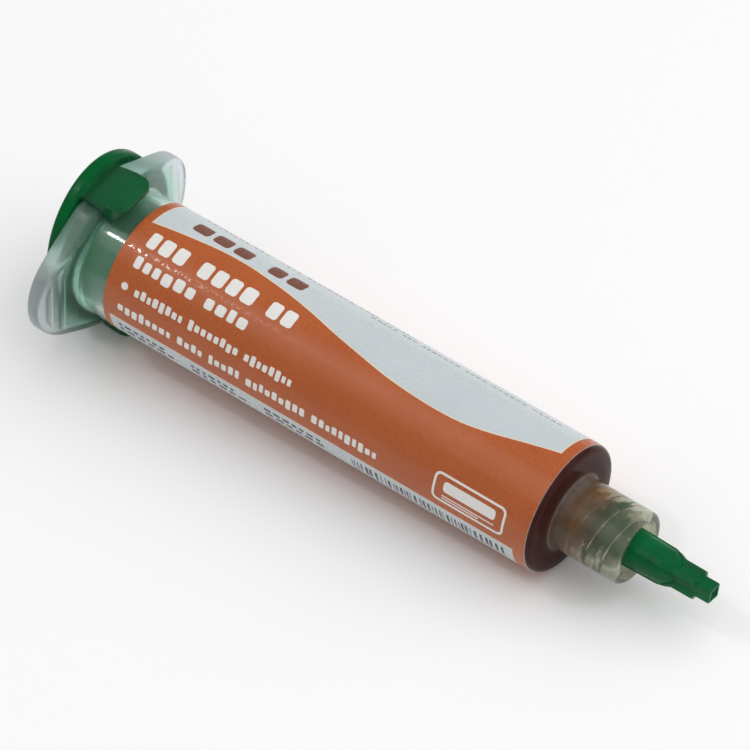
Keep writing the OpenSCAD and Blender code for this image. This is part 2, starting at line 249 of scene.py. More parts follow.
def clear_plastic(name):
    """Natural polypropylene: cloudy in the flange's wings, clear over the bore, olive in the outlet."""
    m, nt, b = material(name)
    c = object_coords(nt)
    radius = from_axis(nt, c)
    cloud = noise(nt, stretched(nt, c, (200, 300, 110)), 1.0, 3.0, 0.6)
    patch = noise(nt, c, 420, 3.0, 0.6)
    body = blend_colour(nt, cloud, (0.755, 0.845, 0.872), (0.925, 0.966, 0.985))
    # painted light: the green of the lit plug and the cap's plate behind the wall is painted into the clear wall round
    # the bore, strongest in the flange and fading out past the window
    inside = add(nt, "ShaderNodeMath", operation="MULTIPLY")
    nt.links.new(along(nt, c, ((0, 1.0), (3.6, 1.0), (4.8, 0.85), (7.8, 0.7), (9.5, 0.0))), inside.inputs[0])
    nt.links.new(spread(nt, radius, 1.0, 0.0, 0.0104, 0.0140), inside.inputs[1])
    body = mixed(nt, "RGBA", along(nt, c, ((0, 0.0), (3.6, 0.0), (4.6, 1.0), (89, 1.0))), body, (0.88, 0.94, 0.92, 1))
    painted_plug_glow = mixed(nt, "RGBA", along(nt, c, ((0, 0.0), (3.4, 0.0), (4.6, 1.0), (89, 1.0))), (0.24, 0.64, 0.46, 1), (0.70, 0.92, 0.83, 1))
    body = mixed(nt, "RGBA", inside.outputs[0], body, painted_plug_glow)
    # flux soaks into the root of the outlet, which is olive in front of it
    body = mixed(nt, "RGBA", along(nt, c, ((0, 0.0), (78.0, 0.0), (79.6, 0.9), (89, 0.9))), body, blend_colour(nt, patch, (0.31, 0.345, 0.205), (0.66, 0.665, 0.52)))
    fac = add(nt, "ShaderNodeMath", operation="MULTIPLY")
    nt.links.new(along(nt, c, ((0, 0.0), (75, 0.0), (77.4, 0.80), (80.8, 1.0), (82.8, 0.50), (84.4, 0.10), (88, 0.0))), fac.inputs[0])
    nt.links.new(spread(nt, patch, 0.45, 1.15), fac.inputs[1])
    body = mixed(nt, "RGBA", fac.outputs[0], body, blend_colour(nt, patch, (0.25, 0.085, 0.026), (0.45, 0.22, 0.085)))
    # seen from in front, the flux fills the shoulder to its rim
    rim = add(nt, "ShaderNodeMath", operation="MULTIPLY")
    nt.links.new(along(nt, c, ((0, 0.0), (76.2, 0.0), (76.9, 1.0), (77.9, 1.0), (78.3, 0.0))), rim.inputs[0])
    nt.links.new(spread(nt, radius, 0.0, 1.0, 0.0050, 0.0058), rim.inputs[1])
    body = mixed(nt, "RGBA", rim.outputs[0], body, blend_colour(nt, patch, (0.040, 0.0125, 0.0105), (0.058, 0.0185, 0.0165)))
    nt.links.new(body, b.inputs["Base Color"])
    nt.links.new(along(nt, c, ((0, 0.32), (3.4, 0.27), (4.6, 0.09), (76, 0.10), (78.5, 0.14), (80, 0.16), (89, 0.17))), b.inputs["Roughness"])
    wing = along(nt, c, ((0, 1.0), (3.5, 1.0), (4.2, 0.0)))
    rest = along(nt, c, ((0, 0.955), (8.0, 0.955), (76.5, 0.995), (77.9, 0.995), (78.3, 0.72), (81.2, 0.80), (83, 0.92), (89, 0.87)))
    clear = mixed(nt, "FLOAT", wing, rest, spread(nt, radius, 0.94, 0.76, 0.0106, 0.0146))
    nt.links.new(mixed(nt, "FLOAT", rim.outputs[0], clear, 0.12), b.inputs["Transmission Weight"])
    index = add(nt, "ShaderNodeMath", operation="ADD")
    nt.links.new(along(nt, c, ((0, 0.49), (70, 0.49), (77.0, 0.08), (78.2, 0.08), (79.6, 0.34), (89, 0.40))), index.inputs[0])
    gloss = add(nt, "ShaderNodeMath", operation="MULTIPLY")
    nt.links.new(rim.outputs[0], gloss.inputs[0])
    nt.links.new(spread(nt, radius, 0.0, 0.09, 0.0058, 0.0090), gloss.inputs[1])
    raised = add(nt, "ShaderNodeMath", operation="ADD")
    raised.inputs[1].default_value = 1.0
    nt.links.new(gloss.outputs[0], raised.inputs[0])
    # the cloudy wings bend light less toward their tips
    thin = add(nt, "ShaderNodeMath", operation="MULTIPLY_ADD")
    nt.links.new(wing, thin.inputs[0])
    nt.links.new(spread(nt, radius, 0.0, -0.20, 0.0108, 0.0140), thin.inputs[1])
    nt.links.new(raised.outputs[0], thin.inputs[2])
    nt.links.new(thin.outputs[0], index.inputs[1])
    nt.links.new(index.outputs[0], b.inputs["IOR"])
    slow = noise(nt, c, 260, 2.0, 0.5)
    bump(nt, b, slow, 0.10, 0.00012)
    # lamps shine through the bare plastic at both ends
    path = add(nt, "ShaderNodeLightPath")
    through = add(nt, "ShaderNodeMath", operation="MULTIPLY")
    nt.links.new(path.outputs["Is Shadow Ray"], through.inputs[0])
    nt.links.new(along(nt, c, ((0, 0.92), (7.8, 0.92), (9.0, 0.0), (78.6, 0.0), (79.6, 0.72), (89, 0.72))), through.inputs[1])
    lamp = add(nt, "ShaderNodeBsdfTransparent")
    both = add(nt, "ShaderNodeMixShader")
    nt.links.new(through.outputs[0], both.inputs[0])
    nt.links.new(b.outputs[0], both.inputs[1])
    nt.links.new(lamp.outputs[0], both.inputs[2])
    nt.links.new(both.outputs[0], nt.nodes["Material Output"].inputs["Surface"])
    return m


def flux_material(name):
    m, nt, b = material(name)
    c = object_coords(nt)
    slow = noise(nt, c, 160, 3.0, 0.6)
    nt.links.new(blend_colour(nt, slow, (0.050, 0.0115, 0.0085), (0.074, 0.0170, 0.0125)), b.inputs["Base Color"])
    nt.links.new(spread(nt, slow, 0.28, 0.42), b.inputs["Roughness"])
    bump(nt, b, noise(nt, c, 500, 2.0), 0.1, 0.0001)
    b.inputs["Specular IOR Level"].default_value = 0.05
    return m


M_CLEAR = clear_plastic("clear_plastic")
M_GREEN = green_plastic("green_plastic", plug=0.0081)
M_TIP = green_plastic("green_plastic_tip", 1.30, inner_x=87.3)
M_FLUX = flux_material("flux")
M_ORANGE = printed("print_orange", (0.415, 0.094, 0.021), (0.445, 0.105, 0.025))
M_PALE = printed("print_pale", (0.535, 0.585, 0.605), (0.560, 0.608, 0.628))
M_WHITE = printed("print_white", (0.76, 0.75, 0.71), (0.80, 0.79, 0.76))
M_CREAM = printed("print_cream", (0.72, 0.62, 0.48), (0.76, 0.66, 0.52))
M_BLACK = printed("print_black", (0.018, 0.017, 0.018), (0.030, 0.028, 0.030))
M_BROWN = printed("print_brown", (0.165, 0.058, 0.036), (0.190, 0.070, 0.043))


# ---------------------------------------------------------------- mesh helpers
def piece(name, verts_mm, faces, mats, body, ids=None, sharp=35):
    me = bpy.data.meshes.new(name)
    me.from_pydata((np.asarray(verts_mm, float) / 1000).tolist(), [], faces)
    me.update()
    for m in mats:
        me.materials.append(m)
    if ids is not None:
        me.polygons.foreach_set("material_index", np.asarray(ids, np.int32))
    me.shade_smooth()
    if sharp:
        me.set_sharp_from_angle(angle=math.radians(sharp))
    o = bpy.data.objects.new(name, me)
    bpy.context.scene.collection.objects.link(o)
    o.matrix_world = LAID
    if body:
        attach(o, body)
    return o


def ring_grid(rings, theta, close_rings):
    """Vertices and quads of rings of (x, r) over the angles theta, 0 at the top and positive towards +y."""
    nj, nt = len(rings), len(theta)
    xs = np.stack([np.broadcast_to(np.asarray(x, float), (nt,)) for x, _ in rings])
    rs = np.stack([np.broadcast_to(np.asarray(r, float), (nt,)) for _, r in rings])
    v = np.stack([xs, rs * np.sin(theta), rs * np.cos(theta)], -1).reshape(-1, 3)
    j = np.arange(nj if close_rings else nj - 1)
    i = np.arange(nt)
    jj, ii = np.meshgrid(j, i, indexing="ij")
    j2, i2 = (jj + 1) % nj, (ii + 1) % nt
    f = np.stack([jj * nt + ii, j2 * nt + ii, j2 * nt + i2, jj * nt + i2], -1).reshape(-1, 4)
    return v, f


def outward(verts, faces):
    """Flips every face if the closed mesh's volume is negative."""
    v = np.asarray(verts, float)
    vol = 0.0
    for f in faces:
        a = v[f[0]]
        for k in range(1, len(f) - 1):
            vol += a @ np.cross(v[f[k]], v[f[k + 1]])
    return faces if vol > 0 else [tuple(reversed(f)) for f in faces]


def lathe(points, n=96, centre=(0.0, 0.0)):
    """A closed solid of revolution from (x, r) points: open ends on the axis, or a ring if no r is 0."""
    theta = np.linspace(0, 2 * math.pi, n, endpoint=False)
    if min(r for _, r in points) > 1e-6:
        v, f = ring_grid(points, theta, True)
        faces = [tuple(q) for q in f.tolist()]
    else:
        inner = [p for p in points if p[1] > 1e-6]
        v, f = ring_grid(inner, theta, False)
        faces = [tuple(q) for q in f.tolist()]
        a, b = len(v), len(v) + 1
        v = np.vstack([v, [points[0][0], 0, 0], [points[-1][0], 0, 0]])
        last = (len(inner) - 1) * n
        faces += [((i + 1) % n, i, a)[::-1] for i in range(n)]
        faces += [(last + i, last + (i + 1) % n, b)[::-1] for i in range(n)]
    v = v + np.array([0, centre[0], centre[1]])
    return v, outward(v, faces)


def arc(cx, cr, r, a0, a1, n):
    return [(cx + r * math.cos(math.radians(a0 + (a1 - a0) * i / n)),
             cr + r * math.sin(math.radians(a0 + (a1 - a0) * i / n))) for i in range(n + 1)]


def join(parts):
    v, f, k = [], [], 0
    for pv, pf in parts:
        v.append(pv)
        f += [tuple(int(i) + k for i in q) for q in pf]
        k += len(pv)
    return np.vstack(v), f


def remeshed(name, parts, voxel_mm, smooth, mat, body, limit=180000):
    """The union of closed shells as one skin with softened edges, thinned out where it is flat."""
    v, f = join(parts)
    o = piece(name, v, f, [mat], None, sharp=0)
    m = o.modifiers.new("skin", "REMESH")
    m.mode = "VOXEL"
    m.voxel_size = voxel_mm / 1000
    m.use_smooth_shade = True
    s = o.modifiers.new("soften", "SMOOTH")
    s.factor = 0.5
    s.iterations = smooth
    dg = bpy.context.evaluated_depsgraph_get()
    count = 2 * len(o.evaluated_get(dg).data.polygons)
    if count > limit:
        d = o.modifiers.new("thin", "DECIMATE")
        d.ratio = limit / count
        dg = bpy.context.evaluated_depsgraph_get()
    me = bpy.data.meshes.new_from_object(o.evaluated_get(dg))
    o.modifiers.clear()
    old = o.data
    o.data = me
    bpy.data.meshes.remove(old)
    me.name = name
    me.materials.clear()
    me.materials.append(mat)
    me.shade_smooth()
    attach(o, body)
    return o


# ---------------------------------------------------------------- barrel
def wing_outline(theta):
    """Distance from the axis to the flange's outline."""
    y, z = np.abs(np.sin(theta)), np.abs(np.cos(theta))
    r = np.full(theta.shape, FLANGE_R)
    side = math.acos((FLANGE_R - WING_R) / WING_Y)
    n = (math.cos(side), math.sin(side))
    t = FLANGE_R / np.maximum(n[0] * y + n[1] * z, 1e-9)
    hit_y = t * y
    on_line = (hit_y >= FLANGE_R * n[0] - 1e-9) & (hit_y <= WING_Y + WING_R * n[0] + 1e-9)
    r = np.where(on_line, np.maximum(r, t), r)
    under = WING_R ** 2 - (WING_Y * z) ** 2
    tip = WING_Y * y + np.sqrt(np.maximum(under, 0))
    past = (under > 0) & (tip * y >= WING_Y + WING_R * n[0] - 1e-6)
    r = np.where(past, np.maximum(r, tip), r)
    return np.minimum(r, FLAT / np.maximum(z, 1e-9))


def wing_face(y, z):
    """Height of the flange's front face: it falls towards the wing tips and carries two ribs on each wing."""
    ay = np.abs(y)
    soft = 0.25 * np.log1p(np.exp(np.clip((ay - 7.0) / 0.25, -40, 40)))
    h = FLANGE_T - (FLANGE_T - WING_T) / (WING_Y + WING_R - 7.0) * soft
    rho = np.hypot(ay - WING_Y, z)
    inside = np.clip((WING_R - 1.0 - rho) / 0.45, 0, 1)
    inside = inside * inside * (3 - 2 * inside)
    for yc in (11.65, 13.75):
        d = np.abs(ay - (yc + 0.09 * z * np.sign(y)))
        t = np.clip((0.62 - d) / 0.40, 0, 1)
        h = h + 0.20 * t * t * (3 - 2 * t) * inside
    return h


def barrel():
    fine, coarse = math.radians(0.6), math.radians(1.8)
    part = np.arange(math.radians(45), math.radians(135), fine)
    top = np.arange(math.radians(-45), math.radians(45), coarse)
    theta = np.concatenate([top, part, top + math.pi, part + math.pi])
    # the outline's corners are slightly rounded
    grid = np.linspace(0, 2 * math.pi, 3600, endpoint=False)
    raw = wing_outline(grid)
    kernel = np.hanning(31)
    kernel /= kernel.sum()
    wide = np.concatenate([raw[-40:], raw, raw[:40]])
    round_r = np.convolve(wide, kernel, mode="same")[40:-40]
    R = np.interp(theta % (2 * math.pi), np.append(grid, 2 * math.pi), np.append(round_r, round_r[0]))
    sy, cz = np.sin(theta), np.cos(theta)

    def face_at(r):
        return wing_face(r * sy, r * cz)

    rings = [(x, BORE_R) for x in (75.0, 60.0, 45.0, 30.0, 18.0, 8.0, 2.0, 0.35)]
    rings += [(0.12, BORE_R + 0.07), (0.0, BORE_R + 0.25)]
    back = 0.4
    for t in (0.15, 0.4, 0.7, 0.9):
        rings.append((0.0, (BORE_R + 0.25) * (1 - t) + (R - back) * t))
    for a in (0, 30, 60, 90):
        rings.append((back - back * math.cos(math.radians(a)), R - back + back * math.sin(math.radians(a))))
    out = face_at(R - 0.4)
    rr = 0.35 + 0.55 * np.clip((out - WING_T) / (FLANGE_T - WING_T), 0, 1)
    xf = face_at(R - rr)
    rings.append((0.4 * back + 0.6 * (xf - rr), R))
    for a in (0, 22, 45, 68, 90):
        rings.append((xf - rr + rr * math.sin(math.radians(a)), R - rr + rr * math.cos(math.radians(a))))
    fillet = 0.4
    root = TUBE_R + fillet
    for u in np.linspace(0, 1, 54)[1:]:
        r = (R - rr) * (1 - u) + root * u
        rings.append((face_at(r), r))
    h0 = face_at(root)
    for a in (22, 45, 68, 90):
        rings.append((h0 + fillet - fillet * math.cos(math.radians(a)), root - fillet * math.sin(math.radians(a))))
    rings += [(x, TUBE_R) for x in (4.9, 6.0, 7.5, 9.0, 20.0, 35.0, 50.0, 65.0, 75.5)]
    s = SHOULDER_R
    rings += [(SHOULDER_X - s + s * math.sin(math.radians(a)), TUBE_R - s + s * math.cos(math.radians(a)))
              for a in (0, 15, 30, 45, 60, 75, 90)]
    # the shoulder is very slightly domed
    rings += [(SHOULDER_X + 0.08, 7.6), (SHOULDER_X + 0.13, 6.8), (SHOULDER_X + 0.16, 6.1)]
    rings += [(SHOULDER_X + 0.56 - 0.4 * math.sin(math.radians(a)) * 1.0, COLLAR_R + 0.4 - 0.4 * math.cos(math.radians(a)))
              for a in (90, 60, 30, 0)]
    rings += [(x, COLLAR_R) for x in (79.5, 81.5, 83.5, 85.5)]
    rings += [(COLLAR_X - 0.8 + 0.8 * math.sin(math.radians(a)), COLLAR_R - 0.8 + 0.8 * math.cos(math.radians(a)))
              for a in (0, 18, 36, 54, 72, 90)]
    rings += [(COLLAR_X, COLLAR_BORE + 0.12), (COLLAR_X - 0.04, COLLAR_BORE + 0.04), (COLLAR_X - 0.14, COLLAR_BORE)]
    # two-start internal thread, 5 mm lead
    for x in np.arange(87.8, 79.75, -0.2):
        phase = ((x - 5.0 * theta / (2 * math.pi)) / 2.5) % 1.0
        d = np.abs(phase - 0.5) * 2.5
        t = np.clip((0.62 - d) / 0.36, 0, 1)
        ends = min(1.0, (87.8 - x) / 0.9, (x - 79.75) / 0.9)
        rings.append((x, COLLAR_BORE - 0.42 * t * t * (3 - 2 * t) * max(ends, 0)))
    cone = lambda x: NOZZLE_R + 0.03 * (NOZZLE_X - x)
    rings += [(79.65, COLLAR_BORE - 0.12), (79.6, COLLAR_BORE - 0.35), (79.6, cone(79.6) + 0.3), (79.68, cone(79.6) + 0.1)]
    rings += [(x, cone(x)) for x in (79.9, 82.0, 84.5, 87.0, 89.0, 90.0)]
    rings += [(90.14, NOZZLE_R - 0.07), (NOZZLE_X, NOZZLE_R - 0.2), (NOZZLE_X, ORIFICE + 0.12), (90.12, ORIFICE)]
    rings += [(x, ORIFICE) for x in (89.0, 86.0, 82.0, 78.5, 76.9)]
    rings += [(76.3, 1.75), (76.08, 2.4), (76.02, 4.5), (76.0, 6.95)]
    rings += [(75.0 + math.cos(math.radians(a)), 6.95 + math.sin(math.radians(a))) for a in (18, 36, 54, 72)]
    v, f = ring_grid(rings, theta, True)
    faces = outward(v, [tuple(q) for q in f.tolist()])
    o = piece("barrel_body", v, faces, [M_CLEAR], "syringe", sharp=50)
    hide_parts("barrel")
    return o


# ---------------------------------------------------------------- label
def label():
    """A printed film round the tube. Its flat layout is x along the tube and the angle round it in degrees."""
    u0, u1 = -225.0, 135.0
    k = math.pi / 180 * LABEL_R
    regions = []  # (outline in (x, degrees), material index), later ones on top

    def rect(x0, x1, a0, a1, mat, r=0.0):
        """A rectangle with corners rounded by r mm."""
        if r <= 0:
            regions.append(([(x0, a0), (x1, a0), (x1, a1), (x0, a1)], mat))
            return
        ra = r / k
        pts = []
        for cx, ca, b in ((x1 - r, a1 - ra, 0), (x0 + r, a1 - ra, 90), (x0 + r, a0 + ra, 180), (x1 - r, a0 + ra, 270)):
            for i in range(5):
                q = math.radians(b + i * 22.5)
                pts.append((cx + r * math.cos(q), ca + ra * math.sin(q)))
        regions.append((pts, mat))

    ORANGE, PALE, WHITE, CREAM, BLACK, BROWN = range(6)
    # pale field with a long wave as its lower edge
    wx = np.array([9.2, 12.0, 15.0, 18.0, 21.5, 24.0, 27.0, 30.0, 35.0, 40.0, 45.0, 50.0, 54.0, 58.0, 62.0, 66.0, 70.0, 75.1])
    wa = np.array([3.5, 7.0, 10.0, 12.8, 14.5, 14.4, 12.8, 10.6, 5.2, -1.6, -7.2, -12.0, -14.0, -14.7, -13.4, -8.8, -2.0, 7.2])
    xs = np.linspace(9.2, 75.1, 70)
    # smooth curve through the points: cubic Hermite with finite-difference slopes
    m = np.gradient(wa, wx)
    i = np.clip(np.searchsorted(wx, xs) - 1, 0, len(wx) - 2)
    h = wx[i + 1] - wx[i]
    t = (xs - wx[i]) / h
    ys = ((2 * t**3 - 3 * t**2 + 1) * wa[i] + (t**3 - 2 * t**2 + t) * h * m[i]
          + (-2 * t**3 + 3 * t**2) * wa[i + 1] + (t**3 - t**2) * h * m[i + 1])
    wave = list(zip(xs.tolist(), ys.tolist()))
    top = 98.0
    edge = 0.17
    slope = np.gradient(ys * k, xs)
    off = edge * np.sqrt(1 + slope**2) / k
    outer = [(9.2 - edge, wave[0][1] - off[0])] + [(x, a - o) for (x, a), o in zip(wave[1:-1], off[1:-1])] + [(75.1 + edge, wave[-1][1] - off[-1])]
    regions.append((outer + [(75.1 + edge, top + edge / k), (9.2 - edge, top + edge / k)], CREAM))
    regions.append((wave + [(75.1, top), (9.2, top)], PALE))
    # pale strip along the lower edge
    rect(9.0 - 0.15, 74.8 + 0.15, -132.0 - 0.15 / k, -91.8 + 0.15 / k, CREAM)
    rect(9.0, 74.8, -132.0, -91.8, PALE)

    def words(x0, x1, a0, a1, mat, counts, pitch, fill=0.74, uneven=0.0):
        """Blocks in groups, as print looks from afar: no letters, only its weight and rhythm."""
        x, n = x0, 0
        while x < x1 - 0.6 * pitch:
            for i in range(counts[n % len(counts)]):
                w = pitch * fill * float(rng.choice([0.8, 1.0, 1.0, 1.12]))
                if x + w > x1:
                    break
                up = uneven * float(rng.choice([0.0, 0.0, 0.0, 1.0, 1.0])) * (a1 - a0)
                down = uneven * float(rng.choice([0.0, 0.0, 0.0, 0.0, 0.8])) * (a1 - a0)
                rect(x, x + w, a0 - down, a1 + up, mat, 0.26 * min(w, (a1 - a0) * k))
                x += w + pitch * (1 - fill)
            x += pitch * 0.75
            n += 1
            if n >= len(counts):
                break

    words(13.6, 34.5, 18.2, 32.2, BROWN, (3, 3), 3.1, 0.78)
    words(10.5, 35.6, -19.0, -4.0, WHITE, (3, 4, 2), 2.36, 0.78)
    words(10.5, 30.6, -38.6, -29.6, WHITE, (6, 4), 1.82, 0.74, 0.18)
    regions.append(([(10.6 + 0.55 * math.cos(q), -56.3 + 0.55 / k * math.sin(q)) for q in np.linspace(0, 2 * math.pi, 14, endpoint=False)], WHITE))
    words(12.3, 40.6, -60.2, -54.2, WHITE, (8, 8, 8), 1.06, 0.70, 0.30)
    words(10.2, 57.4, -80.0, -74.0, WHITE, (8, 4, 5, 9, 10), 1.13, 0.70, 0.30)
    # rounded frame near the front, with a bar and two fine lines in it
    rect(62.0, 73.3, -83.6, -56.4, WHITE, 0.9)
    rect(62.35, 72.95, -83.6 + 0.35 / k, -56.4 - 0.35 / k, ORANGE, 0.6)
    rect(63.6, 71.8, -72.4, -62.4, WHITE, 0.5)
    rect(63.6, 71.8, -77.2, -76.0, WHITE)
    rect(63.6, 69.4, -79.8, -78.6, WHITE)
    # small marks in the pale strip, in three groups, and a band of upright bars
    for g, x0 in enumerate((10.2, 22.4, 34.6)):
        x = x0
        for n in range(7):
            w = float(rng.choice([0.55, 0.8, 1.1]))
            rect(x, x + w, -100.6, -97.2, BLACK)
            x += w + 0.42
        x = x0
        for n in range(6):
            w = float(rng.choice([0.7, 1.0, 1.3]))
            rect(x, x + w, -107.4, -103.4, BLACK)
            x += w + 0.5
        rect(x0, x0 + 7.6, -113.0, -111.6, BLACK)
    x = 49.0
    while x < 73.4:
        w = float(rng.choice([0.18, 0.28, 0.42]))
        rect(x, x + w, -109.5, -97.0, BLACK)
        x += w + float(rng.choice([0.22, 0.34, 0.5]))
    rect(49.0, 73.4, -113.5, -112.4, BLACK)
    # rows of fine print on the pale field, mostly on the far side
    rows = ((41.0, 75.0, 39.4, 41.0), (13.0, 52.0, 47.0, 49.4), (13.0, 66.0, 54.0, 56.4), (13.0, 58.0, 61.0, 63.4),
            (13.0, 70.0, 68.0, 70.4), (13.0, 44.0, 75.0, 77.4))
    for n, (x0, x1, a0, a1) in enumerate(rows):
        words(x0, x1, a0, a1, BLACK, ((5, 3, 7, 4, 6, 5), (8, 3, 5, 9, 4, 6), (4, 7, 6, 3, 8))[n % 3], 0.92, 0.72)
    rect(60.0, 72.0, 80.0, 90.0, BROWN, 0.6)
    rect(60.3, 71.7, 80.0 + 0.3 / k, 90.0 - 0.3 / k, PALE, 0.4)

    verts, edges, faces_in = [], [], []

    def poly(pts):
        base = len(verts)
        verts.extend(Vector((x, a * k)) for x, a in pts)
        faces_in.append(list(range(base, base + len(pts))))

    poly([(LABEL_X0, u0), (LABEL_X1, u0), (LABEL_X1, u1), (LABEL_X0, u1)])
    for pts, _ in regions:
        poly(pts)

    def line(p, q):
        base = len(verts)
        verts.extend([Vector((p[0], p[1] * k)), Vector((q[0], q[1] * k))])
        edges.append((base, base + 1))

    for a in np.arange(u0 + 3, u1 - 0.1, 3.0):
        line((LABEL_X0, float(a)), (LABEL_X1, float(a)))
    for x in np.arange(LABEL_X0 + 3, LABEL_X1 - 0.5, 3.0):
        line((float(x), u0), (float(x), u1))
    ov, oe, of_, _, _, ids = delaunay_2d_cdt(verts, edges, faces_in, 1, 1e-5, True)
    flat = np.array([(p.x, p.y / k) for p in ov])
    kind = []
    tris = []
    for f, src in zip(of_, ids):
        if not src:
            continue
        best = max(src)
        kind.append(0 if best == 0 else regions[best - 1][1])
        tris.append(tuple(f))
    n = len(flat)
    # both side edges meet along one line, where the film's end laps over its start
    lap = np.clip((flat[:, 1] - (u1 - 22.0)) / 6.0, 0, 1)
    step = 0.05 * lap * lap * (3 - 2 * lap)
    low, high = {}, {}
    for j, (x, a) in enumerate(flat):
        if abs(a - u0) < 1e-4:
            low[round(x, 4)] = j
        elif abs(a - u1) < 1e-4:
            high[round(x, 4)] = j
    ang = np.radians(flat[:, 1])
    r_out = LABEL_R + step
    r_in = LABEL_R - 0.09
    outer_v = np.stack([flat[:, 0], r_out * np.sin(ang), r_out * np.cos(ang)], -1)
    inner_v = np.stack([flat[:, 0], r_in * np.sin(ang), r_in * np.cos(ang)], -1)
    # the inner skin is one closed cylinder: its two seam edges are the same points
    inner_of = np.arange(n)
    for x, j in high.items():
        inner_of[j] = low[x]
    v = np.vstack([outer_v, inner_v])
    faces = list(tris)
    mats = list(kind)
    for t in tris:
        faces.append(tuple(int(inner_of[j]) + n for j in reversed(t)))
        mats.append(PALE)
    count = {}
    for t in tris:
        for a, b in zip(t, t[1:] + t[:1]):
            count[(a, b)] = count.get((a, b), 0) + 1
    for (a, b), c in count.items():
        if (b, a) in count:
            continue
        ia, ib = int(inner_of[a]) + n, int(inner_of[b]) + n
        on_seam = abs(flat[a, 1] - flat[b, 1]) < 1e-4 and (abs(flat[a, 1] - u0) < 1e-4 or abs(flat[a, 1] - u1) < 1e-4)
        if on_seam:
            continue
        faces.append((b, a, ia, ib))
        mats.append(WHITE)
    # the small step between the lap's end and the film under it
    order = sorted(low)
    for x0, x1 in zip(order, order[1:]):
        faces.append((high[x1], high[x0], low[x0], low[x1])[::-1])
        mats.append(WHITE)
    used = sorted({j for f in faces for j in f})
    remap = {j: i for i, j in enumerate(used)}
    faces = [tuple(remap[j] for j in f) for f in faces]
    v = v[used]
    fixed = outward(v, faces)
    o = piece("label_film", v, fixed, [M_ORANGE, M_PALE, M_WHITE, M_CREAM, M_BLACK, M_BROWN], "syringe",
              ids=mats, sharp=30)
    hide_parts("label")
    return o


# ---------------------------------------------------------------- flux
def flux():
    r = BORE_R + 0.02  # it wets the wall
    bulk = [(PISTON_NOSE, 0)] + [(PISTON_NOSE, q) for q in (2.0, 4.0, 6.0, r - 1.6, r - 0.3)]
    bulk += [(PISTON_NOSE + 0.3, r)] + [(x, r) for x in np.linspace(30, 74, 23)] + [(75.0, r), (75.0, 5.0), (75.0, 2.5), (75.0, 0)]
    v, f = lathe(bulk, 128)
    o = piece("flux_bulk", v, f, [M_FLUX], "syringe", sharp=40)
    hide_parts("flux_paste")
    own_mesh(o)
    nose = [(75.0, 0), (75.0, 3.0), (75.0, r)]
    nose += [(75.0 + 1.02 * math.cos(math.radians(a)), 6.95 + 1.02 * math.sin(math.radians(a))) for a in (72, 54, 36, 18, 0)]
    nose += [(76.05, 4.5), (76.1, 2.4), (76.32, 1.77), (76.9, ORIFICE + 0.02)]
    nose += [(x, ORIFICE + 0.02) for x in (80.0, 84.0, 88.0)] + [(89.8, ORIFICE + 0.01), (89.9, 0.8), (89.95, 0)]
    v, f = lathe(nose, 128)
    piece("flux_nose", v, f, [M_FLUX], "syringe", sharp=40)


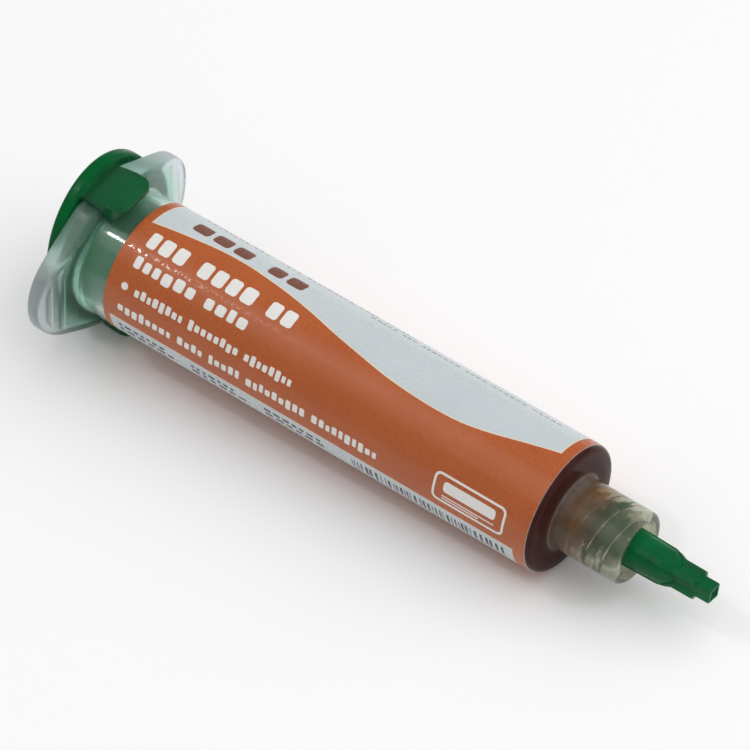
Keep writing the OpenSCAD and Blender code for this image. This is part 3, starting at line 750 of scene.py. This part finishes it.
# ---------------------------------------------------------------- end cap
def end_cap():
    n = 160
    theta = np.linspace(0, 2 * math.pi, n, endpoint=False)
    R = 1 / np.sqrt((np.sin(theta) / PLATE_A) ** 2 + (np.cos(theta) / PLATE_B) ** 2)
    x0, x1 = -2.1, -0.1
    rings = [(x0 + 0.55, 0.9), (x0 + 0.42, 1.6), (x0 + 0.4, 3.0), (x0 + 0.4, 6.0), (x0 + 0.05, 6.75), (x0, 7.1)]
    rings += [(x0, R - 2.0), (x0, R - 0.6)]
    rings += [(x0 + 0.6 - 0.6 * math.cos(math.radians(a)), R - 0.6 + 0.6 * math.sin(math.radians(a))) for a in (30, 60, 90)]
    rings += [(x1 - 0.5, R)]
    rings += [(x1 - 0.5 + 0.5 * math.sin(math.radians(a)), R - 0.5 + 0.5 * math.cos(math.radians(a))) for a in (30, 60, 90)]
    rings += [(x1, R * 0.5)]
    v, f = ring_grid(rings, theta, False)
    faces = [tuple(q) for q in f.tolist()]
    a, b = len(v), len(v) + 1
    v = np.vstack([v, [x0 + 0.15, 0, 0], [x1, 0, 0]])
    last = (len(rings) - 1) * n
    faces += [(i, (i + 1) % n, a) for i in range(n)]
    faces += [(last + (i + 1) % n, last + i, b) for i in range(n)]
    v[:, 1] += PLATE_OFF
    plate = (v, outward(v, faces))
    r = BORE_R - 0.08
    plug = lathe([(-0.6, r - 1.2), (-0.6, r), (6.6, r), (7.1, r + 0.02), (7.6, r), (8.3, r - 0.14), (8.9, r - 0.4), (9.0, r - 0.6), (9.0, r - 1.2)], 160)

    def leg(sign, off, ridge):
        """Its outer face falls from the ridge to both sides."""
        half = LEG_W / 2
        ys = np.concatenate([np.linspace(-half, ridge - 1.0, 14), ridge + np.array([-0.5, 0.0, 0.5]), np.linspace(ridge + 1.0, half, 14)])
        top = [(-0.1, 12.0), (0.3, 11.96), (0.8, 11.98), (1.4, 12.10), (2.0, 12.27), (2.7, 12.47), (3.5, 12.62), (4.4, 12.69), (5.4, 12.7)]
        top += [(LEG_X - 0.8 + 0.8 * math.sin(math.radians(q)), LEG_Z - 0.8 + 0.8 * math.cos(math.radians(q))) for q in (8, 20, 34, 50, 68, 84)]
        tx, tz = np.array(top).T
        xs = np.concatenate([np.arange(-0.1, 1.5, 0.12), tx[tx > 1.5]])
        under = [(LEG_X - 0.1, 11.4), (LEG_X - 0.7, 10.75), (LEG_X - 1.5, LIP_Z), (FLANGE_T + 0.15, LIP_Z), (FLANGE_T + 0.15, LEG_IN), (0.6, LEG_IN)]
        m = len(xs) + len(under) + 2
        vv = []
        for y in ys:
            d = y - ridge
            u = max(abs(d) - 1.0, 0) / (half - 1.0 - math.copysign(ridge, d * ridge))
            zs = np.interp(xs, tx, tz) - 0.2 * u * u
            # a hollow fillet runs up to the plate's edge, which is lower at the leg's sides
            edge = PLATE_B * math.sqrt(1 - ((y + off - PLATE_OFF) / PLATE_A) ** 2) - 0.30
            blend = np.clip(1 - (xs + 0.1) / 1.0, 0, 1) ** 2
            zs = zs + (edge - zs[0]) * blend
            o = max(abs(y) - 2.0, 0)
            xf = LEG_X - (1.5 - math.sqrt(max(1.5**2 - o**2, 0)))
            row = [(-0.7, 10.5), (-0.7, edge - 0.3)] + list(zip(xs.tolist(), zs.tolist())) + under
            for x, z in row:
                vv.append((min(x, xf), y + off, z * sign))
        vv = np.array(vv)
        ff = []
        for q in range(len(ys) - 1):
            for p in range(m):
                p2 = (p + 1) % m
                ff.append((q * m + p, q * m + p2, (q + 1) * m + p2, (q + 1) * m + p))
        ff.append(tuple(range(m))[::-1])
        ff.append(tuple((len(ys) - 1) * m + p for p in range(m)))
        return vv, outward(vv, ff)

    legs = [leg(1, LEG_OFF, 0.0), leg(-1, LOW_OFF, -LOW_OFF)]
    o = remeshed("end_cap_body", [plate, plug] + legs, 0.095, 2, M_GREEN, "back_cap")
    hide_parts("end_cap")
    return o


# ---------------------------------------------------------------- tip cap
def tip_cap():
    turn = -math.radians(32)
    sock = lambda x: NOZZLE_R + 0.05 + 0.03 * (NOZZLE_X - x)
    body = lathe([(90.75, 0), (90.6, 1.2), (90.5, sock(90.2)), (88.0, sock(88.0)), (85.0, sock(85.0)), (82.4, sock(82.4)),
                  (82.3, sock(82.3) + 0.1), (82.3, 2.8), (82.4, 2.9), (84.3, 2.9), (84.75, 2.66), (85.0, 2.6), (88.0, 2.6), (92.65, 2.46), (93.0, 2.38),
                  (94.3, 1.55), (94.7, 1.1), (94.75, 0)], 120)

    def stem():
        """The square bar at the front, its corners in line with the fins, with a shallow recess in its end."""
        n = 96
        phi = np.linspace(0, 2 * math.pi, n, endpoint=False)
        psi = phi - turn - math.pi / 4
        R = np.minimum(1.475, 1.18 / np.maximum(np.abs(np.cos(psi)), np.abs(np.sin(psi))))
        rings = [(93.3, R * 0.6), (93.5, R), (96.0, R), (99.62, R), (99.74, R - 0.05), (99.8, R - 0.16), (99.8, R - 0.42),
                 (99.74, R - 0.5), (99.5, R - 0.56), (99.45, R * 0.4)]
        v, f = ring_grid(rings, phi, False)
        faces = [tuple(q) for q in f.tolist()]
        a, b = len(v), len(v) + 1
        v = np.vstack([v, [93.3, 0, 0], [99.45, 0, 0]])
        last = (len(rings) - 1) * n
        faces += [(i, (i + 1) % n, a) for i in range(n)]
        faces += [(last + (i + 1) % n, last + i, b) for i in range(n)]
        return v, outward(v, faces)

    def prism(profile, half, angle):
        """A bar along the axis: (x, r) outline on one side only, from the axis outwards, thickness 2 half."""
        m = len(profile)
        c, s = math.cos(angle), math.sin(angle)
        vv = []
        for w in (-half, half):
            for x, r in profile:
                vv.append((x, r * s + w * c, r * c - w * s))
        ff = [tuple(range(m))[::-1], tuple(range(m, 2 * m))]
        ff += [(p, (p + 1) % m, m + (p + 1) % m, m + p) for p in range(m)]
        vv = np.array(vv)
        return vv, outward(vv, ff)

    parts = [body, stem()]
    for q in range(4):
        a = turn + q * math.pi / 2
        parts.append(prism([(91.2, 0.4), (91.2, 2.46), (92.9, 2.47), (93.5, 2.34), (94.3, 2.02), (97.5, 2.0), (97.78, 1.4), (97.8, 0.4)], 0.475, a))
        # a faint raised line runs back along the grip from each fin
        parts.append(prism([(85.6, 2.2), (85.6, 2.60), (86.4, 2.72), (92.6, 2.58), (93.1, 2.3)], 0.45, a))
    # two lugs that engage the collar's thread
    for q in (math.pi / 2, -math.pi / 2):
        m = 15
        vv, ff = [], []
        angles = np.radians(np.linspace(-34, 34, m)) + turn + q
        for x in (82.32, 84.35):
            for r in (2.4, 3.86):
                vv += [(x, r * math.sin(a), r * math.cos(a)) for a in angles]
        A, B, C, D = (np.arange(m) + w * m for w in range(4))
        for i in range(m - 1):
            ff += [(A[i], A[i + 1], B[i + 1], B[i]), (C[i], C[i + 1], D[i + 1], D[i]),
                   (A[i], A[i + 1], C[i + 1], C[i]), (B[i], B[i + 1], D[i + 1], D[i])]
        for i in (0, m - 1):
            ff.append((A[i], B[i], D[i], C[i]))
        parts.append((np.array(vv), ff))
    o = remeshed("tip_cap_body", parts, 0.052, 2, M_TIP, "front_cap")
    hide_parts("tip_cap")
    return o


# ---------------------------------------------------------------- stage
def stage():
    me = bpy.data.meshes.new("floor")
    me.from_pydata([(-3, -3, 0), (3, -3, 0), (3, 3, 0), (-3, 3, 0)], [], [(0, 1, 2, 3)])
    m, nt, b = material("floor")
    b.inputs["Base Color"].default_value = (0.96, 0.96, 0.96, 1)
    b.inputs["Roughness"].default_value = 0.8
    b.inputs["Specular IOR Level"].default_value = 0.1
    # far from the lamps the floor stays as pale as it is near the syringe
    far = add(nt, "ShaderNodeVectorMath", operation="LENGTH")
    nt.links.new(object_coords(nt), far.inputs[0])
    glow = add(nt, "ShaderNodeMapRange", interpolation_type="SMOOTHSTEP")
    for key, value in (("From Min", 0.35), ("From Max", 1.7), ("To Min", 0.0), ("To Max", 0.53)):
        glow.inputs[key].default_value = value
    nt.links.new(far.outputs["Value"], glow.inputs["Value"])
    b.inputs["Emission Color"].default_value = (1, 1, 1, 1)
    nt.links.new(glow.outputs["Result"], b.inputs["Emission Strength"])
    me.materials.append(m)
    o = bpy.data.objects.new("floor", me)
    bpy.context.scene.collection.objects.link(o)

    w = bpy.data.worlds.new("studio")
    bpy.context.scene.world = w
    w.use_nodes = True
    # the backdrop behind the floor is as pale as the floor, and lights the syringe more softly
    nt = w.node_tree
    soft = nt.nodes["Background"]
    soft.inputs["Color"].default_value = (1, 1, 1, 1)
    soft.inputs["Strength"].default_value = 0.36
    backdrop = add(nt, "ShaderNodeBackground")
    backdrop.inputs["Color"].default_value = (1, 1, 1, 1)
    backdrop.inputs["Strength"].default_value = 0.88
    path = add(nt, "ShaderNodeLightPath")
    mix = add(nt, "ShaderNodeMixShader")
    nt.links.new(path.outputs["Is Camera Ray"], mix.inputs[0])
    nt.links.new(soft.outputs[0], mix.inputs[1])
    nt.links.new(backdrop.outputs[0], mix.inputs[2])
    nt.links.new(mix.outputs[0], nt.nodes["World Output"].inputs["Surface"])

    def area(name, direction, distance, size, radiance, look=(0, 0, 0.01)):
        d = Vector(direction).normalized()
        li = bpy.data.lights.new(name, "AREA")
        li.shape = "RECTANGLE"
        li.size, li.size_y = size
        li.energy = radiance * math.pi * size[0] * size[1]
        ob = bpy.data.objects.new(name, li)
        bpy.context.scene.collection.objects.link(ob)
        ob.location = Vector(look) + d * distance
        ob.rotation_mode = "QUATERNION"
        ob.rotation_quaternion = (-d).to_track_quat("-Z", "Y")
        ob.visible_transmission = False
        return ob

    key = area("key", (0.45, 0.30, 0.85), 1.2, (1.7, 1.7), 1.60)
    key.visible_glossy = False
    area("softbox", (-0.40, -0.325, 0.85), 0.8, (0.62, 0.44), 0.80)
    area("streak", (-0.409, -0.267, 0.873), 0.8, (0.045, 0.038), 75.0, look=(-0.050, 0, 0.012))


def camera():
    cam = bpy.data.cameras.new("camera")
    cam.lens = 258.4176
    cam.sensor_width = 36.0
    cam.clip_start, cam.clip_end = 0.01, 50
    o = bpy.data.objects.new("camera", cam)
    bpy.context.scene.collection.objects.link(o)
    right = Vector((0.79036089, 0.6084869, -0.07122746))
    up = Vector((-0.42731476, 0.63084744, 0.64763694))
    back = Vector((0.43901225, -0.48143036, 0.75861258))
    rot = Matrix((right, up, back)).transposed()
    o.matrix_world = Matrix.Translation(Vector((0.3033148432, -0.33508646238, 0.5434648044))) @ rot.to_4x4()
    bpy.context.scene.camera = o


bpy.context.scene.view_settings.view_transform = "Standard"
camera()
stage()
barrel()
label()
flux()
end_cap()
tip_cap()

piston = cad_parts["piston"]
piston.data.materials.clear()
piston.data.materials.append(green_plastic("piston_green", 0.8))

bpy.context.view_layer.update()
